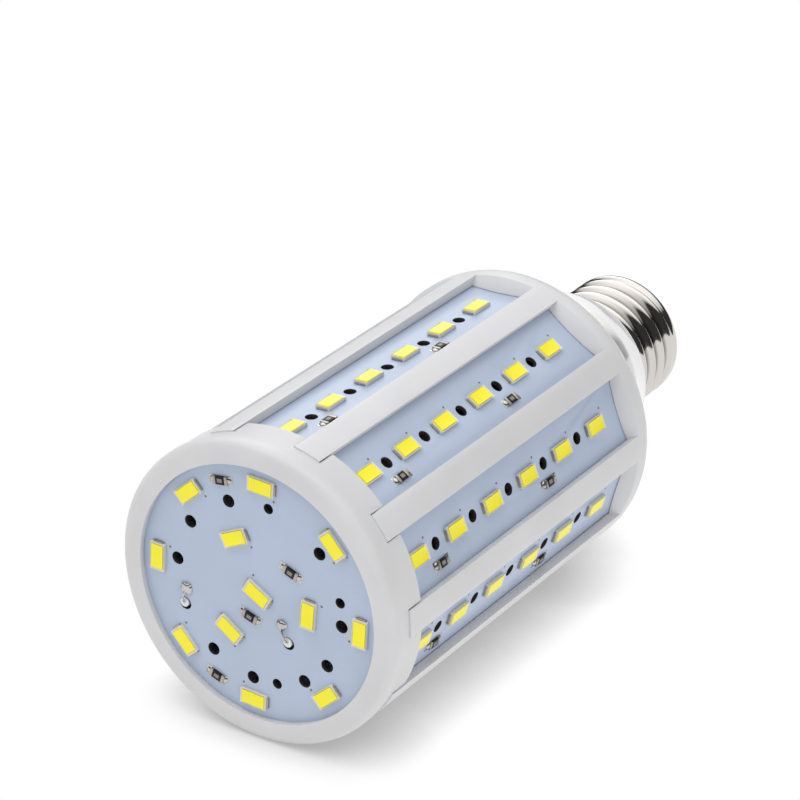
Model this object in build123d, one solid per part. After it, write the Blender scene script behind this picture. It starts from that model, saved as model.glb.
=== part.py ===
"""LED corn lamp: a slotted white cage carries LED boards all round, with a round LED board
at its front, a driver inside and a screw base behind. Millimetres. The lamp stands on its
front rim with the base up: the origin is the centre of the rim's rest face, +Z runs along
the axis to the centre contact, and the first side board faces -Y."""

from build123d import *
import math
import os

# Overall form
lamp_radius = 29.6          # outside of the cage
panel_count = 10            # side boards round the cage
fit_gap = 0.1               # sliding clearance of a board or spigot in its slot or bore
overshoot = 1.0             # how far a cutter runs past what it cuts

# Depths below the outside of the cage
board_depth = 2.6           # outer face of a side board
cage_wall = 4.7
rim_face_width = 4.3        # flat ring in front of the end board's edge
end_board_depth = 3.4
skirt_step = 0.25           # from the rim down to the skirt behind it

# Front cap
rim_front_round = 1.6
rim_height = 3.0            # full-width ring in front of the skirt
skirt_length = 6.1
notch_length = 3.95         # the skirt's notches, whose floors seat the cage's ribs
notch_gap = 0.15            # shadow gap beside a rib end

# Side boards
board_thickness = 1.0
board_length = 82.2
board_front_z = 3.2         # seat in the front cap
board_edge_cover = 1.05     # how far a board runs on behind each rib

# Cage
rib_width = 5.4             # across a rib's outer face
slot_lip = 1.4              # overlap of the inner rail lip behind a board's edge
board_rear_cover = 1.9      # how far a board runs on behind the window's rear edge
window_rear_slope = 2.0     # the window's rear edge lies further back at the outside
slot_rear_gap = 0.2         # room behind a board's rear end
shoulder_offset = 2.1       # board's rear end to the end of the full diameter
shoulder_height = 4.2
shoulder_inset = 2.4        # how far the shoulder rounds in before it ends in an edge

# Base collar
spigot_length = 5.2
spigot_wall = 1.8
shadow_gap_height = 0.5     # between the cage's edge and the collar's cone
shadow_gap_depth = 0.8
collar_base_step = 0.4      # the cone starts this far inside the cage's edge
collar_height = 20.7        # seat on the cage to the end face
collar_top_radius = 16.4
collar_top_round = 0.8
collar_hollowing = 0.9      # how far the cone's side sinks below a straight line
end_plate = 3.6
end_plate_inset = 1.0       # the cavity's roof is this much narrower than the end face
neck_radius = 11.6          # plastic neck inside the screw shell
neck_wall = 1.2
neck_length = 6.0           # beyond the end face
shell_seat_depth = 1.8
guide_inner = 9.8           # half the gap between the two driver guides
guide_width = 4.4
guide_front_offset = 1.3    # the guides start this far behind the collar's seat

# Screw shell, plain at the thread's crest diameter
shell_crest_radius = 13.2
shell_neck_radius = 12.6
shell_neck_length = 3.6
shell_bore_radius = 11.7
shell_length = 21.2
shell_end_chamfer = 1.4
shell_lip = 0.4             # thickness of the turned-in end
shell_lip_radius = 10.4

# Insulator and centre contact
insulator_rim_radius = 10.9
insulator_tip_radius = 5.4
insulator_height = 3.4
insulator_spigot = 0.7
insulator_hole_radius = 1.4
contact_radius = 4.8
contact_height = 1.8
contact_round = 0.8

# LEDs and the pattern of the side boards
led_length = 5.6
led_width = 3.0
led_height = 0.8
led_window_length = 4.7
led_window_width = 2.5
led_window_depth = 0.3
leds_per_board = 6
first_led_margin = 10.3     # board's front end to the first LED
last_led_margin = 10.4      # last LED to the board's rear end
vent_radius = 1.2
vents_per_resistor = 3
side_resistor_offset = 3.7  # beside the board's centre line

# Resistors
resistor_length = 3.2
resistor_width = 1.6
resistor_height = 0.55

# End board
end_board_recess = 1.2      # rim face to the board's outer face
end_board_thickness = 1.2
outer_led_margin = 4.3      # board's edge to the outer ring of LEDs
outer_led_count = 8
outer_led_azimuth = 5.2
inner_led_radius = 11.0
inner_led_count = 3
inner_led_azimuth = 6.7
centre_led_turn = 32.0
end_vent_margin = 8.4       # board's edge to the ring of vents
large_vent_radius = 1.25
large_vent_azimuths = (-108, -143, -172, -40, 6, 37, 59, 97, 127)
small_vent_radius = 1.0
small_vent_azimuths = (-80, -9, 80)
outer_resistor_azimuths = (-108.2, 117.5)
outer_resistor_turns = (175, 21)
inner_resistor_places = ((7.4, -6.2), (-2.0, 5.1))
inner_resistor_turns = (23, 21)
wire_hole_radius = 1.25
wire_hole_places = ((-16.5, 6.4), (6.0, 8.5))
solder_places = ((-15.9, 3.0), (4.9, 5.0))
solder_radius = 1.1
solder_height = 0.85

# Driver inside the cage
driver_width = 23.0
driver_thickness = 1.6
driver_length = 74.0
driver_rear_gap = 4.6       # to the collar's end plate
capacitor_radius = 5.0
capacitor_length = 16.0
capacitor_x = -4.0
capacitor_offset = 6.0      # offsets are from the driver's front edge
transformer_size = (14.0, 12.0, 13.0)
transformer_offset = 36.0
rectifier_size = (6.0, 2.6, 5.0)
rectifier_offset = 54.0

# Wires
wire_radius = 0.45
bend_share = 0.3            # share of the shorter run that a bend takes up
lead_start_x = (-6.0, 5.0)
lead_straight = 8.0         # in front of the driver
lead_tail = 8.8             # behind the end board's outer face
mains_start_x = 5.0
mains_straight = 6.0        # behind the driver
mains_tail = 9.0            # in front of the shell's end

# Derived places
board_apothem = lamp_radius - board_depth
board_inner = board_apothem - board_thickness
board_rear_z = board_front_z + board_length
led_pitch = (board_length - first_led_margin - last_led_margin) / (leds_per_board - 1)
slot_near = board_inner - fit_gap
slot_far = board_apothem + fit_gap
half_step = math.pi / panel_count
window_half_angle = half_step - math.asin(rib_width / 2 / lamp_radius)
window_width = 2 * lamp_radius * math.sin(window_half_angle)
board_width = window_width + 2 * board_edge_cover
slot_width = board_width + 2 * fit_gap
cage_bore_radius = lamp_radius - cage_wall
window_rear_z = board_rear_z - board_rear_cover
shoulder_z = board_rear_z + shoulder_offset
cage_rear_z = shoulder_z + shoulder_height
cage_edge_radius = lamp_radius - shoulder_inset
skirt_edge_z = rim_height + skirt_length
rib_front_z = skirt_edge_z - notch_length
end_board_radius = lamp_radius - end_board_depth
outer_led_radius = end_board_radius - outer_led_margin
end_vent_ring = end_board_radius - end_vent_margin
collar_top_z = cage_rear_z + collar_height
roof_z = collar_top_z - end_plate
neck_end_z = collar_top_z + neck_length
shell_front_z = collar_top_z - shell_seat_depth
shell_end_z = shell_front_z + shell_length
contact_seat_z = shell_end_z + insulator_height
driver_rear_z = roof_z - driver_rear_gap
driver_front_z = driver_rear_z - driver_length


def board_angle(index):
    return -90 + 360 / panel_count * index


def panel_box(near, far, width, z_low, z_high, index=0):
    """A box on a board's direction, from one apothem to another."""
    block = Box(far - near, width, z_high - z_low, align=(Align.MIN, Align.CENTER, Align.MIN))
    return Rot(0, 0, board_angle(index)) * Pos(near, 0, z_low) * block


def all_panels(near, far, width, z_low, z_high):
    return [panel_box(near, far, width, z_low, z_high, i) for i in range(panel_count)]


def at(r, z):
    return (r, 0, z)


def turned(edges):
    """A solid of revolution about Z from a closed outline in the XZ plane."""
    return revolve(make_face(edges), Axis.Z)


def outline(*points):
    return Polyline(*[at(r, z) for r, z in points], close=True)


def quarter_round(start, end, centre):
    """The arc between two points that both lie on a circle about the centre."""
    radius = math.dist(start, centre)
    mid = [(a + b) / 2 - c for a, b, c in zip(start, end, centre)]
    scale = radius / math.hypot(*mid)
    through = [c + m * scale for c, m in zip(centre, mid)]
    return ThreePointArc(at(*start), at(*through), at(*end))


def upright(radius, height, z):
    """A cylinder on the axis, standing on a height."""
    return Pos(0, 0, z) * Cylinder(radius, height, align=(Align.CENTER, Align.CENTER, Align.MIN))


def front_cap():
    """Rim, pocket for the end board and a skirt of tabs between the rib ends."""
    rim_inner = lamp_radius - rim_face_width
    skirt_radius = lamp_radius - skirt_step
    pocket = end_board_radius + fit_gap
    centre = (lamp_radius - rim_front_round, rim_front_round)
    body = turned(
        [
            Line(at(rim_inner, 0), at(centre[0], 0)),
            quarter_round((centre[0], 0), (lamp_radius, centre[1]), centre),
            Polyline(
                at(lamp_radius, centre[1]),
                at(lamp_radius, rim_height),
                at(skirt_radius, rim_height),
                at(skirt_radius, skirt_edge_z),
                at(pocket, skirt_edge_z),
                at(pocket, end_board_recess),
                at(rim_inner, end_board_recess),
                at(rim_inner, 0),
            ),
        ]
    )
    body -= all_panels(slot_near, slot_far, slot_width, board_front_z, skirt_edge_z + overshoot)
    rib_half_width = lamp_radius * math.sin(half_step - window_half_angle)
    notch_width = 2 * (rib_half_width + notch_gap)
    for index in range(panel_count):
        body -= panel_box(
            cage_bore_radius, lamp_radius + overshoot, notch_width,
            rib_front_z, skirt_edge_z + overshoot, index + 0.5,
        )
    return body


def cage():
    """Slotted rails between the boards, closed behind by a ring with a rounded shoulder."""
    section = Circle(lamp_radius) - Circle(cage_bore_radius)
    outer_rear_z = window_rear_z + window_rear_slope
    rails = extrude(Pos(0, 0, rib_front_z) * section, outer_rear_z - rib_front_z)
    rails -= all_panels(slot_far, lamp_radius + overshoot, window_width, 0, outer_rear_z + overshoot)
    inner_window = board_width - 2 * slot_lip
    rails -= all_panels(cage_bore_radius / 2, slot_near, inner_window, 0, outer_rear_z + overshoot)
    shoulder_round = (shoulder_inset**2 + shoulder_height**2) / (2 * shoulder_inset)
    ring = turned(
        [
            Polyline(
                at(cage_edge_radius, cage_rear_z),
                at(cage_bore_radius, cage_rear_z),
                at(cage_bore_radius, window_rear_z),
                at(slot_far, window_rear_z),
                at(lamp_radius, outer_rear_z),
                at(lamp_radius, shoulder_z),
            ),
            quarter_round(
                (lamp_radius, shoulder_z),
                (cage_edge_radius, cage_rear_z),
                (lamp_radius - shoulder_round, shoulder_z),
            ),
        ]
    )
    body = rails + ring
    return body - all_panels(slot_near, slot_far, slot_width, 0, board_rear_z + slot_rear_gap)


def collar_cone():
    """The collar's outside: a shadow gap, then a slightly hollow cone with a rounded end."""
    base = (cage_edge_radius - collar_base_step, cage_rear_z + shadow_gap_height)
    end = (collar_top_radius, collar_top_z - collar_top_round)
    along = (end[0] - base[0], end[1] - base[1])
    slant = math.hypot(*along)
    middle = (
        (base[0] + end[0]) / 2 - along[1] / slant * collar_hollowing,
        (base[1] + end[1]) / 2 + along[0] / slant * collar_hollowing,
    )
    gap_radius = base[0] - shadow_gap_depth
    face_radius = collar_top_radius - collar_top_round
    return turned(
        [
            Polyline(at(0, cage_rear_z), at(gap_radius, cage_rear_z), at(gap_radius, base[1]), at(*base)),
            ThreePointArc(at(*base), at(*middle), at(*end)),
            quarter_round(end, (face_radius, collar_top_z), (face_radius, end[1])),
            Polyline(at(face_radius, collar_top_z), at(0, collar_top_z), at(0, cage_rear_z)),
        ]
    )


def base_collar():
    """White cone behind the cage, with a spigot, a neck for the shell and driver guides."""
    spigot_radius = cage_bore_radius - fit_gap
    spigot_front = cage_rear_z - spigot_length
    body = collar_cone() + upright(spigot_radius, spigot_length, spigot_front)
    body += upright(neck_radius, neck_length, collar_top_z)

    cavity_radius = spigot_radius - spigot_wall
    cavity = turned(
        outline(
            (0, spigot_front - overshoot),
            (cavity_radius, spigot_front - overshoot),
            (cavity_radius, cage_rear_z),
            (collar_top_radius - end_plate_inset, roof_z),
            (0, roof_z),
        )
    )
    guide_front_z = cage_rear_z + guide_front_offset
    for side in (Align.MIN, Align.MAX):
        outward = 1 if side == Align.MIN else -1
        cavity -= Pos(outward * guide_inner, 0, guide_front_z) * Box(
            cavity_radius, guide_width, roof_z, align=(side, Align.CENTER, Align.MIN)
        )
    body -= cavity
    body -= Pos(0, 0, driver_rear_z) * Box(
        driver_width + 2 * fit_gap,
        driver_thickness + 2 * fit_gap,
        driver_rear_z - guide_front_z + overshoot,
        align=(Align.CENTER, Align.CENTER, Align.MAX),
    )
    body -= turned(
        outline(
            (neck_radius, shell_front_z),
            (shell_neck_radius + fit_gap, shell_front_z),
            (shell_neck_radius + fit_gap, collar_top_z + overshoot),
            (neck_radius, collar_top_z + overshoot),
        )
    )
    bore_front_z = roof_z - overshoot
    return body - upright(neck_radius - neck_wall, neck_end_z + overshoot - bore_front_z, bore_front_z)


def screw_shell():
    """Metal screw shell with a plain neck in the collar and a turned-in end."""
    neck_end = shell_front_z + shell_neck_length
    flare = shell_crest_radius - shell_neck_radius
    return turned(
        outline(
            (shell_crest_radius - shell_end_chamfer, shell_end_z),
            (shell_lip_radius, shell_end_z),
            (shell_lip_radius, shell_end_z - shell_lip),
            (shell_bore_radius, shell_end_z - shell_lip),
            (shell_bore_radius, shell_front_z),
            (shell_neck_radius, shell_front_z),
            (shell_neck_radius, neck_end),
            (shell_crest_radius, neck_end + flare),
            (shell_crest_radius, shell_end_z - shell_end_chamfer),
        )
    )


def shell_insulator():
    """Dark conical insulator on the shell's end, bored for the live wire."""
    spigot = shell_lip_radius - fit_gap
    return turned(
        outline(
            (insulator_hole_radius, shell_end_z - insulator_spigot),
            (spigot, shell_end_z - insulator_spigot),
            (spigot, shell_end_z),
            (insulator_rim_radius, shell_end_z),
            (insulator_tip_radius, contact_seat_z),
            (insulator_hole_radius, contact_seat_z),
        )
    )


def centre_contact():
    """Button contact on the tip of the insulator."""
    button = upright(contact_radius, contact_height, contact_seat_z)
    return fillet(button.edges().sort_by(Axis.Z)[-1], contact_round)


def panel_frame(index, z, lateral=0.0):
    """Location on a side board: local X along the axis, local Z out of the board."""
    return Rot(0, 0, board_angle(index)) * Pos(board_apothem, lateral, z) * Rot(0, 90, 0)


def end_frame(x, y, turn):
    """Location on the end board's outer face: local Z out of the board, towards the floor."""
    return Pos(x, y, end_board_recess) * Rot(0, 0, turn) * Rot(180, 0, 0)


def polar(radius, azimuth):
    return radius * math.cos(math.radians(azimuth)), radius * math.sin(math.radians(azimuth))


def raised_block(length, width, height):
    return Box(length, width, height, align=(Align.CENTER, Align.CENTER, Align.MIN))


def led_package():
    package = raised_block(led_length, led_width, led_height)
    return package - Pos(0, 0, led_height - led_window_depth) * raised_block(
        led_window_length, led_window_width, led_window_depth + overshoot
    )


def led_phosphor():
    return Pos(0, 0, led_height - led_window_depth) * raised_block(
        led_window_length, led_window_width, led_window_depth
    )


def resistor():
    return raised_block(resistor_length, resistor_width, resistor_height)


def place_along_board(step):
    """Height of an LED, or with a half step of the vent behind it."""
    return board_front_z + first_led_margin + led_pitch * step


def led_places(index):
    return [panel_frame(index, place_along_board(i)) for i in range(leds_per_board)]


def vent_heights():
    return [place_along_board(i + 0.5) for i in range(leds_per_board - 1)]


def side_board(index):
    board = panel_box(board_inner, board_apothem, board_width, board_front_z, board_rear_z, index)
    for z in vent_heights():
        board -= panel_frame(index, z) * Cylinder(vent_radius, 4 * board_thickness)
    return board


def side_resistors(index):
    heights = vent_heights()[::vents_per_resistor]
    return [panel_frame(index, z, side_resistor_offset) * resistor() for z in heights]


def led_ring(count, radius, first_azimuth):
    """LEDs round the end board, each set along the ring."""
    azimuths = [first_azimuth + 360 / count * i for i in range(count)]
    return [end_frame(*polar(radius, azimuth), azimuth + 90) for azimuth in azimuths]


def end_led_places():
    places = led_ring(outer_led_count, outer_led_radius, outer_led_azimuth)
    places += led_ring(inner_led_count, inner_led_radius, inner_led_azimuth)
    return places + [end_frame(0, 0, centre_led_turn)]


def end_resistors():
    outer = [polar(outer_led_radius, azimuth) for azimuth in outer_resistor_azimuths]
    places = zip(outer, outer_resistor_turns)
    places = [*places, *zip(inner_resistor_places, inner_resistor_turns)]
    return [end_frame(x, y, turn) * resistor() for (x, y), turn in places]


def end_board():
    board = upright(end_board_radius, end_board_thickness, end_board_recess)
    holes = [(polar(end_vent_ring, azimuth), large_vent_radius) for azimuth in large_vent_azimuths]
    holes += [(polar(end_vent_ring, azimuth), small_vent_radius) for azimuth in small_vent_azimuths]
    holes += [(place, wire_hole_radius) for place in wire_hole_places]
    for (x, y), radius in holes:
        board -= Pos(x, y, end_board_recess) * Cylinder(radius, 4 * end_board_thickness)
    return board


def wire(*points):
    """A round wire along straight runs joined by tangent arcs."""
    corners = [Vector(*point) for point in points]
    radii = []
    for before, corner, after in zip(corners, corners[1:], corners[2:]):
        run_in = corner - before
        run_out = after - corner
        reach = bend_share * min(run_in.length, run_out.length)
        radii.append(reach / math.tan(math.radians(run_in.get_angle(run_out) / 2)))
    path = FilletPolyline(*points, radius=radii)
    section = Plane(origin=path @ 0, z_dir=path % 0) * Circle(wire_radius)
    return sweep(section, path)


def lead_wire(which):
    """From the driver's front edge through the end board, bent over to its solder joint."""
    x = lead_start_x[which]
    hole = wire_hole_places[which]
    over_board = end_board_recess - wire_radius
    return wire(
        (x, 0, driver_front_z),
        (x, 0, driver_front_z - lead_straight),
        (*hole, end_board_recess + lead_tail),
        (*hole, over_board),
        (*solder_places[which], over_board),
    )


def solder_joints():
    """Domes over the bent wire ends."""
    sphere_radius = (solder_radius**2 + solder_height**2) / (2 * solder_height)
    joints = []
    for which, (x, y) in enumerate(solder_places):
        dome = Pos(x, y, end_board_recess - solder_height + sphere_radius) * Sphere(sphere_radius)
        above_board = Pos(x, y, end_board_recess) * Box(
            4 * solder_radius, 4 * solder_radius, 2 * solder_height,
            align=(Align.CENTER, Align.CENTER, Align.MAX),
        )
        joints.append((dome & above_board) - lead_wire(which))
    return joints


def mains_wire(side, end_x, end_z):
    """From the driver's rear edge through the neck to the screw base."""
    start_x = side * mains_start_x
    return wire(
        (start_x, 0, driver_rear_z),
        (start_x, 0, driver_rear_z + mains_straight),
        (end_x, 0, shell_end_z - mains_tail),
        (end_x, 0, end_z),
    )


def mains_wire_live():
    return mains_wire(1, 0, contact_seat_z)


def mains_wire_neutral():
    beside_shell = shell_bore_radius - wire_radius - fit_gap
    return mains_wire(-1, -beside_shell, shell_end_z - shell_lip)


def driver_board():
    return Pos(0, 0, driver_front_z) * raised_block(driver_width, driver_thickness, driver_length)


def on_driver(x, offset):
    return Pos(x, driver_thickness / 2, driver_front_z + offset)


def smoothing_capacitor():
    can = upright(capacitor_radius, capacitor_length, 0)
    return on_driver(capacitor_x, capacitor_offset) * Pos(0, capacitor_radius, 0) * can


def driver_block(size, offset):
    return on_driver(0, offset) * Box(*size, align=(Align.CENTER, Align.MIN, Align.MIN))


def save(name, shape):
    solids = shape if isinstance(shape, list) else [shape]
    bodies = [body for item in solids for body in item.solids()]
    export_step(bodies[0] if len(bodies) == 1 else Compound(children=bodies), f"parts/{name}.step")


os.makedirs("parts", exist_ok=True)
save("front_cap", front_cap())
save("cage", cage())
save("base_collar", base_collar())
save("screw_shell", screw_shell())
save("shell_insulator", shell_insulator())
save("centre_contact", centre_contact())
save("end_board", end_board())
save("end_leds", [place * led_package() for place in end_led_places()])
save("end_phosphor", [place * led_phosphor() for place in end_led_places()])
save("end_resistors", end_resistors())
save("solder_joints", solder_joints())
save("lead_wire_positive", lead_wire(0))
save("lead_wire_negative", lead_wire(1))
save("mains_wire_live", mains_wire_live())
save("mains_wire_neutral", mains_wire_neutral())
save("driver_board", driver_board())
save("smoothing_capacitor", smoothing_capacitor())
save("transformer", driver_block(transformer_size, transformer_offset))
save("bridge_rectifier", driver_block(rectifier_size, rectifier_offset))
for number in range(panel_count):
    tag = f"{number + 1:02d}"
    save(f"side_board_{tag}", side_board(number))
    save(f"side_leds_{tag}", [place * led_package() for place in led_places(number)])
    save(f"side_phosphor_{tag}", [place * led_phosphor() for place in led_places(number)])
    save(f"side_resistors_{tag}", side_resistors(number))
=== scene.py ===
"""LED corn lamp: finishes, LEDs, chip resistors, solder, rolled thread and softened housings."""

import math

import bmesh
import bpy
from mathutils import Matrix, Vector
from mathutils.noise import noise as noise_at


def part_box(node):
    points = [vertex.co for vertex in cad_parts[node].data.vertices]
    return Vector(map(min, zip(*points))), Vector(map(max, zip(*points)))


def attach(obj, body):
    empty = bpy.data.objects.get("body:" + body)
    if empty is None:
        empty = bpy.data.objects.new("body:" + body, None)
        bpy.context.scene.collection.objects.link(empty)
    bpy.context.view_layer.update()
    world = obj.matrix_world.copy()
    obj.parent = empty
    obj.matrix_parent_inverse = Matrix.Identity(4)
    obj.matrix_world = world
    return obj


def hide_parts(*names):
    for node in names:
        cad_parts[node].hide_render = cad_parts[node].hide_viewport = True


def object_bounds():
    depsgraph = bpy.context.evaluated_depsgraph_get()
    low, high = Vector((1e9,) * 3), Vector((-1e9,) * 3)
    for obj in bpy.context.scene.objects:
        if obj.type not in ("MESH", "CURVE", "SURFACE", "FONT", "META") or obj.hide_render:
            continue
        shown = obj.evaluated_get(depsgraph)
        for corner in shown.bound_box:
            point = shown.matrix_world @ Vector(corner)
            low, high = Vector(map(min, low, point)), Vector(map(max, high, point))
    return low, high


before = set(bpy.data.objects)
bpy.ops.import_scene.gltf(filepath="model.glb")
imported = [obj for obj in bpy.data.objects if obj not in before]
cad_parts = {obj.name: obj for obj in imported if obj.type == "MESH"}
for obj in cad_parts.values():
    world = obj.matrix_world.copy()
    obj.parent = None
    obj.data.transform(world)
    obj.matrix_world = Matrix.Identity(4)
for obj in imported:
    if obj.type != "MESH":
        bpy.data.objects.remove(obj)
cad_low, cad_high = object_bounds()

MM = 0.001

# Camera of the photograph, in the lamp's frame
camera_place = Vector((308.8, -276.5, -411.3)) * MM
camera_forward = Vector((-0.50577, 0.42211, 0.75234))
camera_up = Vector((-0.20894, -0.90608, 0.36791))
camera_lens = 148.2
camera_sensor = 36.0
camera_clip = 10 * MM
# The lamp lay on its side in the photograph, so the pale floor is an upright plane here
photo_up = Vector((0.0345, -0.9994, 0.0))

# Sizes read from the fixed frame
panel_count = 10
leds_per_board = 6
end_board_low, end_board_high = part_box("end_board")
strip_low, strip_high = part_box("side_leds_01")
shell_low, shell_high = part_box("screw_shell")
lamp_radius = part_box("cage")[1].x
board_face = -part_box("side_board_01")[0].y
driver_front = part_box("driver_board")[0].z
end_face = end_board_low.z
end_board_radius = end_board_high.x
shell_crest_radius = shell_high.x

# LED package
led_length = 5.6 * MM
led_width = 3.0 * MM
led_height = 0.8 * MM
led_edge = 0.08 * MM
led_window_length = 4.7 * MM
led_window_width = 2.5 * MM
led_window_depth = 0.3 * MM
led_window_rim = 0.25 * MM  # strip of phosphor round its sunk middle
led_window_dip = 0.05 * MM
tab_length = 0.5 * MM
tab_width = 2.1 * MM
tab_height = 0.42 * MM
tab_overhang = 0.28 * MM
tab_edge = 0.05 * MM
first_led = strip_low.z + led_length / 2
led_pitch = (strip_high.z - strip_low.z - led_length) / (leds_per_board - 1)

# Chip resistor on its pads
resistor_length = 3.2 * MM
resistor_width = 1.6 * MM
resistor_height = 0.55 * MM
resistor_edge = 0.06 * MM
cap_length = 0.62 * MM
cap_width = resistor_width * 1.02
cap_height = resistor_height * 0.98
pad_length = 1.25 * MM
pad_width = 1.8 * MM
pad_height = 0.06 * MM
pad_overlap = 0.3 * MM      # part of a pad that lies under its cap
pad_edge = 0.02 * MM
fillet_shift = 0.05 * MM    # solder heaped up just past each cap
fillet_size = (0.75 * MM, 0.78 * MM, 0.36 * MM)
label_length = 1.05 * MM    # paler patch on the black chip
label_width = 0.72 * MM
label_height = 0.03 * MM
label_sink = 0.01 * MM
side_resistor_offset = 3.7 * MM
side_resistor_vents = (0, 3)  # gaps between LEDs, counted from the end board

# End board pattern, with the LEDs that are set the other way round
outer_led_radius = end_board_radius - 4.3 * MM
outer_led_count = 8
outer_led_azimuth = 5.2
inner_led_radius = 11.0 * MM
inner_led_count = 3
inner_led_azimuth = 6.7
inner_leds_turned = (0, 1)
centre_led_turn = 212.0
outer_resistors = ((-108.2, 175), (117.5, 21))  # azimuth and turn in degrees
inner_resistors = ((7.4, -6.2, 23), (-2.0, 5.1, 21))  # place in mm and turn in degrees

# Plated holes beside the LEDs, along and across each one
side_via = (-3.2 * MM, -2.4 * MM)
end_via = (2.6 * MM, -2.4 * MM)
via_radius = 0.24 * MM
via_flatness = 0.12

# Leads through the end board, in mm: driver edge, hole and solder joint
lead_routes = {
    "lead_wire_positive": (-6.0, (-16.5, 6.4), (-15.9, 3.0)),
    "lead_wire_negative": (5.0, (6.0, 8.5), (4.9, 5.0)),
}
lead_radius = 0.45 * MM
lead_drop = 8.0 * MM        # straight run from the driver's edge
lead_turn = 10.0 * MM       # height over the end board at which a lead heads for its hole
lead_stop = 2.2 * MM        # height at which its insulation ends
bare_radius = 0.2 * MM
bare_start = 2.4 * MM
bare_arch = ((0.15, 0.25), (1.3, 0.75))  # mm towards the joint and out of the board
bare_end = 0.3 * MM
sleeve_radius = 0.95 * MM
sleeve_length = 6.0 * MM
sleeve_proud = 0.1 * MM
sleeve_shift = Vector((-0.18, -0.18, 0)) * MM

# Solder joint
joint_radius = 1.25 * MM
joint_shares = (1, 0.92, 0.62)  # its radius across and out of the board
joint_grain = 1100          # noise scale, per metre
joint_variety = 9000        # makes each joint's lumps its own
joint_unevenness = 0.3
joint_base = 0.02 * MM      # how deep it reaches into the board
dimple_radius = 0.45 * joint_radius
dimple_depth = 0.2          # share of the radius

# Screw shell and its rolled thread
thread_pitch = 3.629 * MM
thread_depth = 1.15 * MM
thread_neck = 3.3 * MM      # plain neck before the thread
thread_fade = 1.2 * MM
thread_end = 1.9 * MM       # plain end after the thread
thread_rows = 120
thread_steps = 144
neck_recess = 0.75 * MM
shell_rounding = 1.6 * MM
shell_rounding_steps = 8
shell_end_radius = 10.4 * MM
shell_sheet = 0.3 * MM
shell_slack = 0.001 * MM    # how far under the crest radius still counts as the wall
seam_reach = 0.0001 * MM

# Softened edges of the CAD forms
housing_edge = 0.28 * MM
collar_edge = 0.2 * MM
board_edge = 0.09 * MM
merge_reach = 0.002 * MM
flat_angle = math.radians(0.5)
sharp_angle = math.radians(28)
board_side_tilt = 0.2       # share of a normal out of the board, under which a face is one of its sides

# Studio, seen from the camera: to the right, up and beyond
lamp_centre = Vector((0, 0, (cad_low.z + cad_high.z) / 2))
view_across = camera_forward.cross(photo_up).normalized()
view_along = photo_up.cross(view_across).normalized()
fill_strength = 0.5
background_strength = 1.0
room_lean = 0.25            # how far the mirrored room's top leans away from the camera
dark_band_strength = 0.04
room_strength = 0.9
room_start, room_full = 0.5, 0.6
softbox_strength = 1.5
softbox_start, softbox_full = 0.62, 0.85
floor_size = 4.0
# Painted contact shadow in the floor's glow, from how near the lamp is rather than from the lamps
shadow_reach = 15 * MM
shadow_samples = 16
shadow_lean = (photo_up * 0.8 - view_across * 0.4 - view_along * 0.45).normalized()
shadow_closed, shadow_open = 0.2, 0.8  # open share of the surroundings at full shade and at none
shadow_strength = 0.42      # brightness of the floor at full shade

# Grain that every finish shares
tone_drift = 60.0
tone_drift_detail = 3.0
grain_detail = 4.0
grain_strength = 0.25
noise_low, noise_high = 0.3, 0.7  # span of the noise that the roughness follows

# Nickel plate, with painted shade darkening the thread's roots
nickel_rgb = (0.66, 0.63, 0.60)
nickel_painted_shade_rgb = (0.19, 0.18, 0.165)
nickel_unshaded_share = 0.6   # part of the thread's depth, down from its crests, that keeps the full colour without painted shade


def material(name):
    made = bpy.data.materials.new(name)
    made.use_nodes = True
    return made, made.node_tree.nodes, made.node_tree.links, made.node_tree.nodes["Principled BSDF"]


def set_inputs(node, values):
    """Plain values on a node's own sockets."""
    for socket, value in values.items():
        node.inputs[socket].default_value = value


def object_coordinates(nodes):
    return nodes.new("ShaderNodeTexCoord").outputs["Object"]


def noise(nodes, links, scale, detail):
    node = nodes.new("ShaderNodeTexNoise")
    set_inputs(node, {"Scale": scale, "Detail": detail})
    links.new(object_coordinates(nodes), node.inputs["Vector"])
    return node.outputs["Fac"]


def ramp(nodes, links, source, low, high, low_at=0.35, high_at=0.65):
    """Source turned into a colour between two given ones."""
    node = nodes.new("ShaderNodeValToRGB")
    first, last = node.color_ramp.elements
    first.position, first.color = low_at, (*low, 1)
    last.position, last.color = high_at, (*high, 1)
    links.new(source, node.inputs["Fac"])
    return node.outputs["Color"]


def step(nodes, links, source, low, high, start, end):
    """A number that goes from start to end while the source goes from low to high."""
    node = nodes.new("ShaderNodeMapRange")
    set_inputs(node, {"From Min": low, "From Max": high, "To Min": start, "To Max": end})
    links.new(source, node.inputs["Value"])
    return node.outputs["Result"]


def bump(nodes, links, source, strength, depth):
    node = nodes.new("ShaderNodeBump")
    set_inputs(node, {"Strength": strength, "Distance": depth})
    links.new(source, node.inputs["Height"])
    return node.outputs["Normal"]


def tinted(rgb, amount):
    return tuple(max(0.0, min(1.0, c * amount)) for c in rgb)


def finish_of(name, rgb, roughness, grain, grain_depth, tone_change=0.03, roughness_change=0.06):
    """A surface with a slow drift of tone and a fine grain."""
    made, nodes, links, shader = material(name)
    drift = noise(nodes, links, tone_drift, tone_drift_detail)
    tone = ramp(nodes, links, drift, tinted(rgb, 1 - tone_change), tinted(rgb, 1 + tone_change))
    links.new(tone, shader.inputs["Base Color"])
    fine = noise(nodes, links, grain, grain_detail)
    gloss = step(
        nodes, links, fine, noise_low, noise_high, roughness - roughness_change, roughness + roughness_change,
    )
    links.new(gloss, shader.inputs["Roughness"])
    links.new(bump(nodes, links, fine, grain_strength, grain_depth), shader.inputs["Normal"])
    return made, shader


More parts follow.
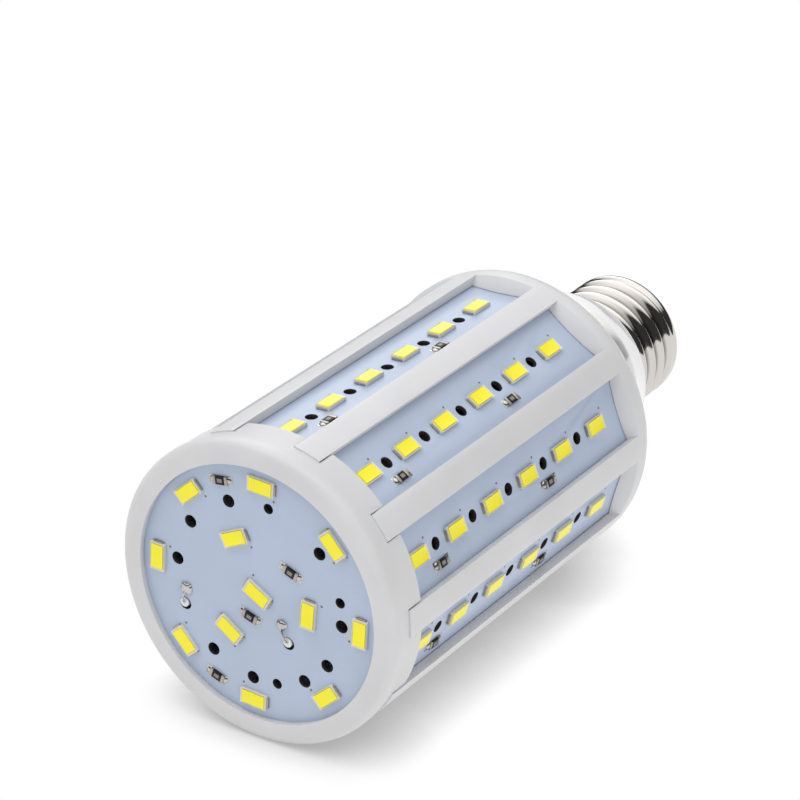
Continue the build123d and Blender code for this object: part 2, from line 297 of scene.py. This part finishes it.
def housing_plastic():
    made, shader = finish_of(
        "satin_housing_plastic", (0.66, 0.66, 0.67), roughness=0.42, grain=2600.0, grain_depth=0.02 * MM,
    )
    set_inputs(shader, {
        "Subsurface Weight": 0.08,
        "Subsurface Scale": 2 * MM,
        "Subsurface Radius": (1.0, 0.95, 0.9),
    })
    return made


def collar_plastic():
    made, shader = finish_of(
        "gloss_collar_plastic", (0.84, 0.84, 0.85), roughness=0.12, grain=500.0, grain_depth=0.01 * MM,
        tone_change=0.01, roughness_change=0.03,
    )
    set_inputs(shader, {"Coat Weight": 0.6, "Coat Roughness": 0.05})
    return made


def solder_mask():
    made, shader = finish_of(
        "blue_white_solder_mask", (0.45, 0.525, 0.67), roughness=0.36, grain=900.0, grain_depth=0.003 * MM,
        tone_change=0.02, roughness_change=0.03,
    )
    set_inputs(shader, {"Coat Weight": 0.12, "Coat Roughness": 0.15})
    return made


def case_plastic():
    return finish_of(
        "white_led_case", (0.74, 0.72, 0.68), roughness=0.4, grain=4000.0, grain_depth=0.01 * MM,
    )[0]


def phosphor():
    made, shader = finish_of(
        "yellow_phosphor", (0.96, 0.87, 0.01), roughness=0.3, grain=9000.0, grain_depth=0.01 * MM,
    )
    set_inputs(shader, {"Coat Weight": 0.15, "Coat Roughness": 0.12})
    return made


def tinned_metal():
    made, shader = finish_of(
        "tinned_terminal", (0.46, 0.42, 0.37), roughness=0.36, grain=6000.0, grain_depth=0.01 * MM,
        tone_change=0.08,
    )
    set_inputs(shader, {"Metallic": 1.0})
    return made


def solder_metal():
    made, shader = finish_of(
        "bright_solder", (0.56, 0.55, 0.53), roughness=0.26, grain=2500.0, grain_depth=0.04 * MM,
        tone_change=0.08, roughness_change=0.1,
    )
    set_inputs(shader, {"Metallic": 1.0})
    return made


def chip_black():
    made, shader = finish_of(
        "black_chip_coat", (0.012, 0.011, 0.011), roughness=0.4, grain=5000.0, grain_depth=0.01 * MM,
    )
    set_inputs(shader, {"Specular IOR Level": 0.25})
    return made


def nickel_plate():
    """Bright plate with painted shade that darkens it down in the thread's roots."""
    made, shader = finish_of(
        "bright_nickel_plate", nickel_rgb, roughness=0.1, grain=900.0, grain_depth=0.004 * MM,
        tone_change=0.02, roughness_change=0.02,
    )
    set_inputs(shader, {"Metallic": 1.0})
    nodes, links = made.node_tree.nodes, made.node_tree.links
    flat = nodes.new("ShaderNodeVectorMath")
    flat.operation = "MULTIPLY"
    links.new(object_coordinates(nodes), flat.inputs[0])
    flat.inputs[1].default_value = (1, 1, 0)
    radius = nodes.new("ShaderNodeVectorMath")
    radius.operation = "LENGTH"
    links.new(flat.outputs["Vector"], radius.inputs[0])
    # Painted shade: the base colour goes from full at the crests to dark in the roots
    root_radius = shell_crest_radius - thread_depth
    unshaded_radius = shell_crest_radius - thread_depth * nickel_unshaded_share
    height = step(nodes, links, radius.outputs["Value"], root_radius, unshaded_radius, 0.0, 1.0)
    tone = ramp(nodes, links, height, nickel_painted_shade_rgb, nickel_rgb, low_at=0.0, high_at=1.0)
    links.new(tone, shader.inputs["Base Color"])
    return made


def contact_brass():
    made, shader = finish_of(
        "contact_brass", (0.74, 0.60, 0.34), roughness=0.25, grain=1500.0, grain_depth=0.002 * MM,
    )
    set_inputs(shader, {"Metallic": 1.0})
    return made


def glazed_insulator():
    return finish_of(
        "dark_glazed_insulator", (0.012, 0.012, 0.013), roughness=0.12, grain=900.0, grain_depth=0.01 * MM,
    )[0]


def via_brown():
    return finish_of(
        "plated_via", (0.17, 0.13, 0.07), roughness=0.4, grain=6000.0, grain_depth=0.01 * MM,
    )[0]


def chip_label():
    return finish_of(
        "chip_label", (0.24, 0.22, 0.19), roughness=0.4, grain=5000.0, grain_depth=0.01 * MM,
    )[0]


def sleeve_white():
    return finish_of(
        "white_wire_sleeve", (0.78, 0.78, 0.80), roughness=0.35, grain=3000.0, grain_depth=0.01 * MM,
    )[0]


def plain_inner(name, rgb, roughness):
    return finish_of(name, rgb, roughness, grain=1500.0, grain_depth=0.02 * MM)[0]


white_housing = housing_plastic()
white_collar = collar_plastic()
mask = solder_mask()
led_white = case_plastic()
led_yellow = phosphor()
tinned = tinned_metal()
solder = solder_metal()
black_chip = chip_black()
nickel = nickel_plate()
brass = contact_brass()
insulator = glazed_insulator()
via_dark = via_brown()
label_grey = chip_label()
sleeve = sleeve_white()
# Dark board sides: the board's edge colour with painted shade of the narrow gap beside each board
side_finish_with_painted_shade = plain_inner("board_edge_with_painted_shade", (0.045, 0.038, 0.032), 0.5)
lead_finishes = {
    "lead_wire_positive": (plain_inner("red_lead", (0.5, 0.02, 0.02), 0.35), "wire_red"),
    "lead_wire_negative": (plain_inner("black_lead", (0.02, 0.02, 0.02), 0.35), "wire_black"),
}

# Finishes of the LED cases and the resistors, and the places in a piece's own list of finishes
led_finishes = [led_white, tinned]
tab_part = 1
resistor_finishes = [black_chip, tinned, solder, label_grey]
chip_part, cap_part, pad_part, label_part = range(4)
lead_part, bare_part = range(2)
board_side_part = 1


def in_scene(name, data):
    made = bpy.data.objects.new(name, data)
    bpy.context.scene.collection.objects.link(made)
    return made


def piece(name, shape, materials, replaces=(), smooth=35):
    """Turns a finished bmesh into a piece of the lamp, shaded smooth up to an angle in degrees."""
    bmesh.ops.recalc_face_normals(shape, faces=shape.faces)
    mesh = bpy.data.meshes.new(name)
    shape.to_mesh(mesh)
    shape.free()
    made = in_scene(name, mesh)
    for finish in materials:
        mesh.materials.append(finish)
    mesh.shade_smooth()
    mesh.set_sharp_from_angle(angle=math.radians(smooth))
    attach(made, "root")
    if replaces:
        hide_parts(*replaces)
    return made


def repaint(node, finish):
    """A better finish on a CAD node that stays."""
    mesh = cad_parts[node].data
    mesh.materials.clear()
    mesh.materials.append(finish)


def on_panel(index, z, lateral=0.0):
    """Place on a side board's face: X along the lamp, Z out of the board."""
    turn = math.radians(-90 + 360 / panel_count * index)
    return (
        Matrix.Rotation(turn, 4, "Z")
        @ Matrix.Translation((board_face, lateral, z))
        @ Matrix.Rotation(math.pi / 2, 4, "Y")
    )


def on_end(x, y, turn):
    """Place on the end board's face: Z out of the board."""
    return (
        Matrix.Translation((x, y, end_face))
        @ Matrix.Rotation(math.radians(turn), 4, "Z")
        @ Matrix.Rotation(math.pi, 4, "X")
    )


def on_ring(radius, azimuth, turn):
    """Place on the end board's face, at a radius and an angle."""
    angle = math.radians(azimuth)
    return on_end(radius * math.cos(angle), radius * math.sin(angle), turn)


def along_of(place):
    return (place.to_3x3() @ Vector((1, 0, 0))).normalized()


def out_of(place):
    return (place.to_3x3() @ Vector((0, 0, 1))).normalized()


def rounded(shape, edges, width, segments):
    bmesh.ops.bevel(
        shape, geom=edges, offset=width, offset_type="OFFSET", segments=segments, profile=0.5,
        affect="EDGES", material=-1, clamp_overlap=True,
    )


def plain_block(shape, place, length, width, height, lift=0.0, shift=0.0):
    """Corners of a new block that stands on a board's face."""
    local = Matrix.Translation((shift, 0, lift + height / 2)) @ Matrix.Diagonal((length, width, height, 1))
    return bmesh.ops.create_cube(shape, size=1.0, matrix=place @ local)["verts"]


def faces_of(verts):
    return {f for v in verts for f in v.link_faces}


def block(shape, place, length, width, height, lift=0.0, shift=0.0, finish=0, edge=0.0):
    """A block on a board's face, with a finish and, where an edge is given, rounded edges."""
    verts = plain_block(shape, place, length, width, height, lift, shift)
    faces = faces_of(verts)
    for face in faces:
        face.material_index = finish
    if edge:
        rounded(shape, list({e for v in verts for e in v.link_edges}), edge, segments=2)
    return faces


def outer_face(faces, place):
    """The one of a block's faces that looks out of its board."""
    out = out_of(place)
    for face in faces:
        face.normal_update()
    return max(faces, key=lambda f: f.normal.dot(out))


def led_case(shape, place):
    """White case with an open window and a tinned tab at each end."""
    verts = plain_block(shape, place, led_length, led_width, led_height)
    window = outer_face(faces_of(verts), place)
    rim = (led_width - led_window_width) / 2
    bmesh.ops.inset_individual(shape, faces=[window], thickness=rim, use_even_offset=True)
    along = along_of(place)
    middle = window.calc_center_median()
    for vert in window.verts:
        reach = (vert.co - middle).dot(along)
        vert.co += along * (math.copysign(led_window_length / 2, reach) - reach)
    bmesh.ops.translate(shape, vec=-out_of(place) * led_window_depth, verts=window.verts)
    outer = {e for v in verts for e in v.link_edges if e.other_vert(v) in verts}
    rounded(shape, list(outer), led_edge, segments=2)
    for side in (-1, 1):
        block(
            shape, place, tab_length, tab_width, tab_height,
            shift=side * (led_length / 2 + tab_overhang - tab_length / 2), finish=tab_part, edge=tab_edge,
        )


def led_window(shape, place):
    """Phosphor filling the case's window, sunk a little towards its middle."""
    faces = block(
        shape, place, led_window_length, led_window_width, led_window_depth,
        lift=led_height - led_window_depth,
    )
    top = outer_face(faces, place)
    bmesh.ops.inset_individual(shape, faces=[top], thickness=led_window_rim, use_even_offset=True)
    bmesh.ops.translate(shape, vec=-out_of(place) * led_window_dip, verts=top.verts)


def resistor(shape, place):
    """Black chip between tinned caps, on solder pads that run out past its ends."""
    core_length = resistor_length - 2 * cap_length
    block(
        shape, place, core_length, resistor_width, resistor_height, finish=chip_part, edge=resistor_edge,
    )
    block(
        shape, place, label_length, label_width, label_height,
        lift=resistor_height - label_sink, finish=label_part,
    )
    for side in (-1, 1):
        block(
            shape, place, cap_length, cap_width, cap_height,
            shift=side * (resistor_length - cap_length) / 2, finish=cap_part, edge=resistor_edge,
        )
        block(
            shape, place, pad_length, pad_width, pad_height,
            shift=side * (resistor_length / 2 + pad_length / 2 - pad_overlap), finish=pad_part, edge=pad_edge,
        )
        fillet = (
            place
            @ Matrix.Translation((side * (resistor_length / 2 + fillet_shift), 0, pad_height))
            @ Matrix.Diagonal((*fillet_size, 1))
        )
        made = bmesh.ops.create_uvsphere(shape, u_segments=14, v_segments=8, radius=1.0, matrix=fillet)
        for face in faces_of(made["verts"]):
            face.material_index = pad_part


def via(shape, place, offset):
    """Low plated cap over a small hole through the board."""
    along, across = offset
    spot = place @ Matrix.Translation((along, across, 0)) @ Matrix.Diagonal((1, 1, via_flatness, 1))
    bmesh.ops.create_uvsphere(shape, u_segments=16, v_segments=8, radius=via_radius, matrix=spot)


def softened(name, node, finish, edge):
    """A CAD node's form, merged, and with its sharp edges rounded."""
    shape = bmesh.new()
    shape.from_mesh(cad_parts[node].data)
    bmesh.ops.remove_doubles(shape, verts=shape.verts, dist=merge_reach)
    bmesh.ops.dissolve_limit(
        shape, angle_limit=flat_angle, verts=shape.verts, edges=shape.edges, use_dissolve_boundaries=False,
    )
    sharp = [e for e in shape.edges if len(e.link_faces) == 2 and e.calc_face_angle(0) > sharp_angle]
    rounded(shape, sharp, edge, segments=3)
    return piece(name, shape, [finish], [node], smooth=30)


def masked_board(name, node, place):
    """A soft-edged board with the mask on its faces and dark sides: the board's edge colour with painted
    shade of the gap beside it.
    """
    made = softened(name, node, mask, board_edge)
    made.data.materials.append(side_finish_with_painted_shade)
    out = out_of(place)
    # sides get the dark finish that holds painted shade of the gap
    for face in made.data.polygons:
        if abs(face.normal.dot(out)) < board_side_tilt:
            face.material_index = board_side_part


def side_panels():
    """The ten side boards with their LEDs, resistors and plated holes."""
    for index in range(panel_count):
        tag = f"{index + 1:02d}"
        cases, windows, chips, vias = bmesh.new(), bmesh.new(), bmesh.new(), bmesh.new()
        for led in range(leds_per_board):
            place = on_panel(index, first_led + led_pitch * led)
            led_case(cases, place)
            led_window(windows, place)
            via(vias, place, side_via)
        for vent in side_resistor_vents:
            z = first_led + led_pitch * (vent + 0.5)
            resistor(chips, on_panel(index, z, side_resistor_offset))
        piece(f"led_cases_{tag}", cases, led_finishes, [f"side_leds_{tag}"])
        piece(f"led_windows_{tag}", windows, [led_yellow], [f"side_phosphor_{tag}"])
        piece(f"chip_resistors_{tag}", chips, resistor_finishes, [f"side_resistors_{tag}"])
        piece(f"plated_holes_{tag}", vias, [via_dark])
        masked_board(f"masked_board_{tag}", f"side_board_{tag}", on_panel(index, 0))


def end_led_places():
    places = []
    for i in range(outer_led_count):
        azimuth = outer_led_azimuth + 360 / outer_led_count * i
        places.append(on_ring(outer_led_radius, azimuth, azimuth + 90))
    for i in range(inner_led_count):
        azimuth = inner_led_azimuth + 360 / inner_led_count * i
        half_turn = 180 if i in inner_leds_turned else 0
        places.append(on_ring(inner_led_radius, azimuth, azimuth + 90 + half_turn))
    return places + [on_end(0, 0, centre_led_turn)]


def end_panel():
    """The round board with its LEDs, resistors and plated holes."""
    cases, windows, chips, vias = bmesh.new(), bmesh.new(), bmesh.new(), bmesh.new()
    for place in end_led_places():
        led_case(cases, place)
        led_window(windows, place)
        via(vias, place, end_via)
    for azimuth, turn in outer_resistors:
        resistor(chips, on_ring(outer_led_radius, azimuth, turn))
    for x, y, turn in inner_resistors:
        resistor(chips, on_end(x * MM, y * MM, turn))
    piece("end_led_cases", cases, led_finishes, ["end_leds"])
    piece("end_led_windows", windows, [led_yellow], ["end_phosphor"])
    piece("end_chip_resistors", chips, resistor_finishes, ["end_resistors"])
    piece("end_plated_holes", vias, [via_dark])
    masked_board("masked_end_board", "end_board", on_end(0, 0, 0))


def tube(shape, points, radius, finish=0):
    """A smooth round wire through the given points."""
    route = bpy.data.curves.new("route", "CURVE")
    route.dimensions = "3D"
    route.bevel_depth = radius
    route.bevel_resolution = 4
    route.use_fill_caps = True
    spline = route.splines.new("BEZIER")
    spline.bezier_points.add(len(points) - 1)
    for knot, point in zip(spline.bezier_points, points):
        knot.co = point
        knot.handle_left_type = knot.handle_right_type = "AUTO"
    holder = in_scene("route", route)
    first = len(shape.faces)
    shape.from_mesh(holder.to_mesh())
    bpy.data.objects.remove(holder)
    shape.faces.ensure_lookup_table()
    for face in shape.faces[first:]:
        face.material_index = finish


def solder_lump(shape, x, y):
    """An uneven solder joint with a dimple, flat on the board."""
    centre = Vector((x, y, end_face))
    lump = Matrix.Translation(centre) @ Matrix.Diagonal((*joint_shares, 1))
    made = bmesh.ops.create_icosphere(shape, subdivisions=5, radius=joint_radius, matrix=lump)
    for vert in made["verts"]:
        out = vert.co - centre
        uneven = noise_at(vert.co * joint_grain + Vector((x, y, 0)) * joint_variety)
        dimple = math.exp(-((out.x ** 2 + out.y ** 2) / dimple_radius ** 2))
        vert.co = centre + out * (1 + joint_unevenness * uneven - dimple_depth * dimple)
        vert.co.z = min(vert.co.z, end_face + joint_base)


def over_end(point, height):
    """A point on the end board moved to a height over its outer face, into the lamp."""
    return point + Vector((0, 0, end_face + height))


def leads():
    """Insulated leads that end in sleeves in the end board's holes, and their bare soldered tips."""
    sleeves, joints = bmesh.new(), bmesh.new()
    for node, (start_x, hole, joint) in lead_routes.items():
        hole = Vector((*hole, 0)) * MM
        joint = Vector((*joint, 0)) * MM
        towards = (joint - hole).normalized()
        inside = hole + sleeve_shift
        arch = [over_end(inside + towards * reach * MM, -rise * MM) for reach, rise in bare_arch]
        wire = bmesh.new()
        tube(wire, [
            Vector((start_x * MM, 0, driver_front)),
            Vector((start_x * MM, 0, driver_front - lead_drop)),
            over_end(inside, lead_turn),
            over_end(inside, lead_stop),
        ], lead_radius, lead_part)
        tube(wire, [over_end(inside, bare_start), *arch, over_end(joint, -bare_end)], bare_radius, bare_part)
        colour, slot = lead_finishes[node]
        piece(f"soldered_{node}", wire, [colour, solder], [node], smooth=60)
        tube(sleeves, [
            over_end(inside, -sleeve_proud),
            over_end(inside, sleeve_length - sleeve_proud),
        ], sleeve_radius)
        solder_lump(joints, joint.x, joint.y)
    piece("wire_sleeves", sleeves, [sleeve], smooth=60)
    piece("wire_solder", joints, [solder], ["solder_joints"], smooth=70)


def thread_wave(turns):
    """Rounded thread section: 0 at a root and 1 at a crest."""
    return 0.5 - 0.5 * math.cos(2 * math.pi * turns)


def eased(share):
    """A share kept between 0 and 1, with a soft start and a soft end."""
    share = min(1.0, max(0.0, share))
    return share * share * (3 - 2 * share)


def shell_profile():
    """Radius and height along the plain shell: its straight wall, its rounding and its end."""
    rounding_start = shell_high.z - shell_rounding
    wall_length = rounding_start - shell_low.z
    profile = []
    for i in range(thread_rows + 1):
        profile.append((shell_crest_radius, shell_low.z + wall_length * i / thread_rows))
    for i in range(1, shell_rounding_steps + 1):
        angle = math.pi / 2 * i / shell_rounding_steps
        profile.append((
            shell_crest_radius - shell_rounding + shell_rounding * math.cos(angle),
            rounding_start + shell_rounding * math.sin(angle),
        ))
    return profile + [(shell_end_radius, shell_high.z)]


def roll_thread(shape):
    """The shell's wall pressed in to its neck and into a right-hand thread."""
    neck_radius = shell_crest_radius - neck_recess
    neck_end = shell_low.z + thread_neck
    end_start = shell_high.z - thread_end
    for vert in shape.verts:
        radius = math.hypot(vert.co.x, vert.co.y)
        if radius < shell_crest_radius - shell_slack:
            continue
        turn = math.atan2(vert.co.y, vert.co.x) / (2 * math.pi)
        wave = thread_wave(vert.co.z / thread_pitch - turn)
        start = eased((vert.co.z - neck_end) / thread_fade)
        stop = eased((end_start - vert.co.z) / thread_fade)
        crest = shell_crest_radius - thread_depth * (1 - wave) * stop
        want = neck_radius + (crest - neck_radius) * start
        vert.co.x *= want / radius
        vert.co.y *= want / radius


def screw_shell():
    """Thin nickel shell rolled into a right-hand rounded thread."""
    shape = bmesh.new()
    verts = [shape.verts.new((r, 0, z)) for r, z in shell_profile()]
    edges = [shape.edges.new(pair) for pair in zip(verts, verts[1:])]
    bmesh.ops.spin(
        shape, geom=verts + edges, cent=(0, 0, 0), axis=(0, 0, 1), angle=2 * math.pi, steps=thread_steps,
        use_merge=True,
    )
    roll_thread(shape)
    bmesh.ops.remove_doubles(shape, verts=shape.verts, dist=seam_reach)
    bmesh.ops.recalc_face_normals(shape, faces=shape.faces)
    bmesh.ops.solidify(shape, geom=shape.faces, thickness=shell_sheet)
    piece("threaded_shell", shape, [nickel], ["screw_shell"], smooth=50)


def housings():
    softened("soft_edged_cage", "cage", white_housing, housing_edge)
    softened("soft_edged_cap", "front_cap", white_housing, housing_edge)
    softened("gloss_collar", "base_collar", white_collar, collar_edge)


def base_and_inner():
    repaint("shell_insulator", insulator)
    repaint("centre_contact", brass)
    repaint("mains_wire_live", plain_inner("red_mains_wire", (0.5, 0.02, 0.02), 0.35))
    repaint("mains_wire_neutral", plain_inner("black_mains_wire", (0.02, 0.02, 0.02), 0.35))
    repaint("driver_board", plain_inner("driver_laminate", (0.42, 0.33, 0.16), 0.5))
    repaint("smoothing_capacitor", plain_inner("capacitor_sleeve", (0.02, 0.02, 0.03), 0.25))
    repaint("transformer", plain_inner("transformer_tape", (0.68, 0.55, 0.08), 0.4))
    repaint("bridge_rectifier", plain_inner("rectifier_case", (0.02, 0.02, 0.02), 0.4))


def camera():
    data = bpy.data.cameras.new("photo_camera")
    data.lens = camera_lens
    data.sensor_width = camera_sensor
    data.clip_start = camera_clip
    made = in_scene("photo_camera", data)
    back = -camera_forward.normalized()
    right = camera_up.cross(back).normalized()
    up = back.cross(right)
    turn = Matrix((right, up, back)).transposed()
    made.matrix_world = Matrix.Translation(camera_place) @ turn.to_4x4()
    bpy.context.scene.camera = made


def from_camera(across, up, along):
    """A point in metres to the right of, above and beyond the lamp, as the photograph shows it."""
    return lamp_centre + view_across * across + photo_up * up + view_along * along


def soft_light(name, place, size, power, mirrored):
    data = bpy.data.lights.new(name, "AREA")
    data.shape = "SQUARE"
    data.size = size
    data.energy = power
    made = in_scene(name, data)
    made.location = place
    made.rotation_mode = "QUATERNION"
    made.rotation_quaternion = (lamp_centre - place).to_track_quat("-Z", "Y")
    made.visible_glossy = mirrored


def lights():
    """Four softboxes, of which shiny parts mirror only the one beyond the lamp."""
    soft_light("softbox_above", from_camera(-0.25, 0.75, -0.05), size=0.7, power=3.6, mirrored=False)
    soft_light("softbox_beyond", from_camera(-0.1, 0.5, 0.8), size=0.6, power=1.6, mirrored=True)
    soft_light("softbox_front", from_camera(-0.55, 0.25, -0.65), size=0.5, power=0.6, mirrored=False)
    soft_light("softbox_right", from_camera(0.6, 0.1, -0.55), size=0.5, power=1.5, mirrored=False)


def blended(nodes, links, factor, first, second):
    """The second number where the factor is 1, else the first; each a value or a socket."""
    node = nodes.new("ShaderNodeMix")
    for socket, value in zip(("Factor", "A", "B"), (factor, first, second)):
        if isinstance(value, float):
            node.inputs[socket].default_value = value
        else:
            links.new(value, node.inputs[socket])
    return node.outputs["Result"]


def studio_world():
    """Even fill, white behind the lamp, and for shiny parts a room dark below and bright above."""
    world = bpy.data.worlds.new("studio")
    bpy.context.scene.world = world
    world.use_nodes = True
    nodes, links = world.node_tree.nodes, world.node_tree.links
    upward = nodes.new("ShaderNodeVectorMath")
    upward.operation = "DOT_PRODUCT"
    links.new(nodes.new("ShaderNodeTexCoord").outputs["Generated"], upward.inputs[0])
    upward.inputs[1].default_value = (photo_up + view_along * room_lean).normalized()
    height = upward.outputs["Value"]
    room = step(nodes, links, height, room_start, room_full, dark_band_strength, room_strength)
    boxes = step(nodes, links, height, softbox_start, softbox_full, 0.0, 1.0)
    mirrored = blended(nodes, links, boxes, room, softbox_strength)
    path = nodes.new("ShaderNodeLightPath")
    lit = blended(nodes, links, path.outputs["Is Glossy Ray"], fill_strength, mirrored)
    seen = blended(nodes, links, path.outputs["Is Camera Ray"], lit, background_strength)
    links.new(seen, nodes["Background"].inputs["Strength"])
    nodes["Background"].inputs["Color"].default_value = (1, 1, 1, 1)


def floor_finish():
    """White glowing floor with a painted shadow that dims it where the lamp stands close, and that can't be
    seen from behind.
    """
    made, nodes, links, shader = material("pale_floor")
    near = nodes.new("ShaderNodeAmbientOcclusion")
    near.samples = shadow_samples
    set_inputs(near, {"Distance": shadow_reach, "Normal": shadow_lean})
    # painted shadow: the floor's glow drops where the lamp is near
    dim = step(nodes, links, near.outputs["AO"], shadow_closed, shadow_open, shadow_strength, 1.0)
    glow = nodes.new("ShaderNodeEmission")
    links.new(dim, glow.inputs["Strength"])
    nodes.remove(shader)
    clear = nodes.new("ShaderNodeBsdfTransparent")
    side = nodes.new("ShaderNodeNewGeometry")
    mix = nodes.new("ShaderNodeMixShader")
    links.new(side.outputs["Backfacing"], mix.inputs["Fac"])
    links.new(glow.outputs["Emission"], mix.inputs[1])
    links.new(clear.outputs["BSDF"], mix.inputs[2])
    links.new(mix.outputs["Shader"], nodes["Material Output"].inputs["Surface"])
    return made


def photo_floor():
    """The floor that the lamp lay on in the photograph: a plane that touches its side."""
    shape = bmesh.new()
    bmesh.ops.create_grid(shape, x_segments=1, y_segments=1, size=floor_size)
    turn = photo_up.to_track_quat("Z", "X").to_matrix().to_4x4()
    place = Matrix.Translation(-photo_up * lamp_radius) @ turn
    bmesh.ops.transform(shape, verts=shape.verts, matrix=place)
    mesh = bpy.data.meshes.new("floor")
    shape.to_mesh(mesh)
    shape.free()
    mesh.materials.append(floor_finish())
    in_scene("floor", mesh)


bpy.context.scene.view_settings.view_transform = "Standard"
side_panels()
end_panel()
leads()
screw_shell()
housings()
base_and_inner()
camera()
lights()
studio_world()
photo_floor()
